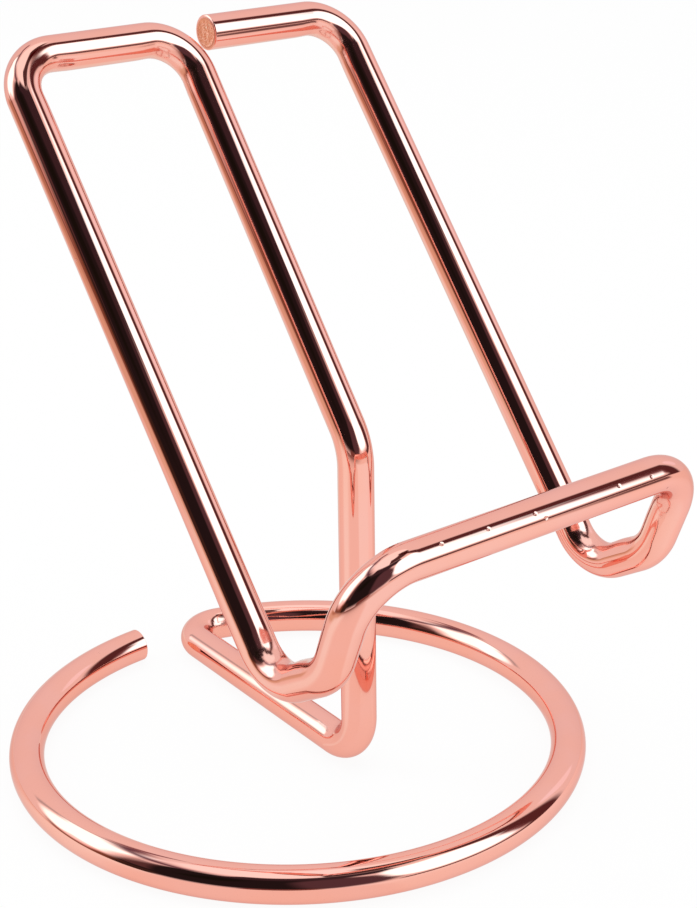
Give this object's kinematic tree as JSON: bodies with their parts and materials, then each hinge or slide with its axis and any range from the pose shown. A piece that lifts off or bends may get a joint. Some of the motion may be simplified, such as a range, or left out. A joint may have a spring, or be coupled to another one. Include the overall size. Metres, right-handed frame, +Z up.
{
  "type": "wire display stand",
  "caption": "Bent-wire display stand: leaning three-leg back-rest, two hooks joined by a front lip, upright post and flat base ring.",
  "frame": {"origin": "on the table, under the middle of the stand's bounding box", "axes": "+X to the stand's right as seen by the person facing its front, +Y to its back, +Z up"},
  "size_m": [0.083, 0.0872, 0.1018],
  "materials": {
    "rose_gold_plating": "mirror-polished rose-gold plating over steel wire"
  },
  "bodies": {
    "root": {"free_end_bar": "rose_gold_plating", "top_right_bend": "rose_gold_plating", "right_leg": "rose_gold_plating", "right_heel_bend": "rose_gold_plating", "right_shelf": "rose_gold_plating", "right_toe_bend": "rose_gold_plating", "right_riser": "rose_gold_plating", "right_lip_bend": "rose_gold_plating", "front_lip": "rose_gold_plating", "left_lip_bend": "rose_gold_plating", "left_riser": "rose_gold_plating", "left_toe_bend": "rose_gold_plating", "left_shelf": "rose_gold_plating", "left_heel_bend": "rose_gold_plating", "left_leg": "rose_gold_plating", "top_left_bend": "rose_gold_plating", "top_left_bar": "rose_gold_plating", "top_centre_bend": "rose_gold_plating", "centre_leg": "rose_gold_plating", "knee_bend": "rose_gold_plating", "post": "rose_gold_plating", "foot_bend": "rose_gold_plating", "foot_spoke": "rose_gold_plating", "rim_bend": "rose_gold_plating", "base_ring": "rose_gold_plating"}
  },
  "joints": []
}
